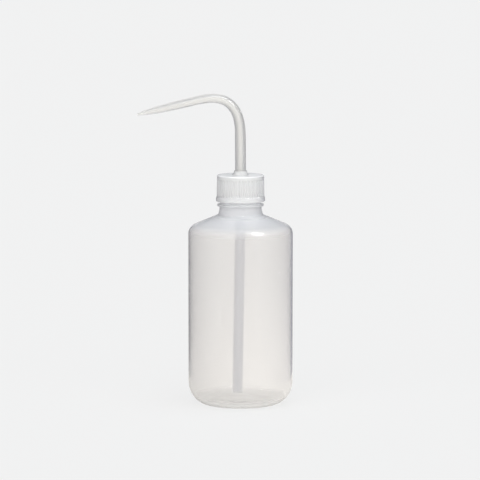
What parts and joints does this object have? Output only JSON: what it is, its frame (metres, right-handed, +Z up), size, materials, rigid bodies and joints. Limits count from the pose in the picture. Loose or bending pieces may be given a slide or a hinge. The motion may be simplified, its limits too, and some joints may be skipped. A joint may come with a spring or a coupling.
{
  "type": "wash bottle",
  "caption": "Squeeze wash bottle with a round-shouldered body, ribbed screw cap, swivelling bent spout and dip tube; dispenses a fine jet of liquid.",
  "frame": {"origin": "centre of the flat base, on the surface the bottle stands on", "axes": "+Z up along the bottle's axis; the spout points along -X at rest; +Y is away from a viewer who sees the spout on the left"},
  "size_m": [0.1129, 0.076, 0.2264],
  "materials": {
    "bottle": "translucent natural low-density polyethylene, satin",
    "cap": "translucent natural polypropylene, glossy",
    "insert": "translucent natural polyethylene",
    "liner": "white foamed polyethylene, matt",
    "spout": "translucent natural polyethylene, glossy",
    "dip_tube": "translucent natural polyethylene"
  },
  "bodies": {
    "bottle": {"bottle": "bottle"},
    "insert": {"insert": "insert", "dip_tube": "dip_tube"},
    "spout": {"spout": "spout"},
    "liner": {"liner": "liner"},
    "cap": {"cap": "cap"}
  },
  "joints": [
    {"name": "lift_out", "type": "slide", "parent": "bottle", "child": "insert", "axis": [0, 0, 1], "range_m": [0, 0.165]},
    {"name": "spout_swivel", "type": "hinge", "parent": "insert", "child": "spout", "pos_m": [0, 0, 0.165], "axis": [0, 0, 1], "continuous": true},
    {"name": "cap_rise", "type": "slide", "parent": "insert", "child": "liner", "axis": [0, 0, 1], "range_m": [0, 0.01166]},
    {"name": "cap_turn", "type": "hinge", "parent": "liner", "child": "cap", "pos_m": [0, 0, 0.158], "axis": [0, 0, 1], "range_deg": [0, 990]}
  ],
  "couplings": [
    {"joint": "cap_rise", "follows": "cap_turn", "m_per_rad": 0.0006737}
  ]
}
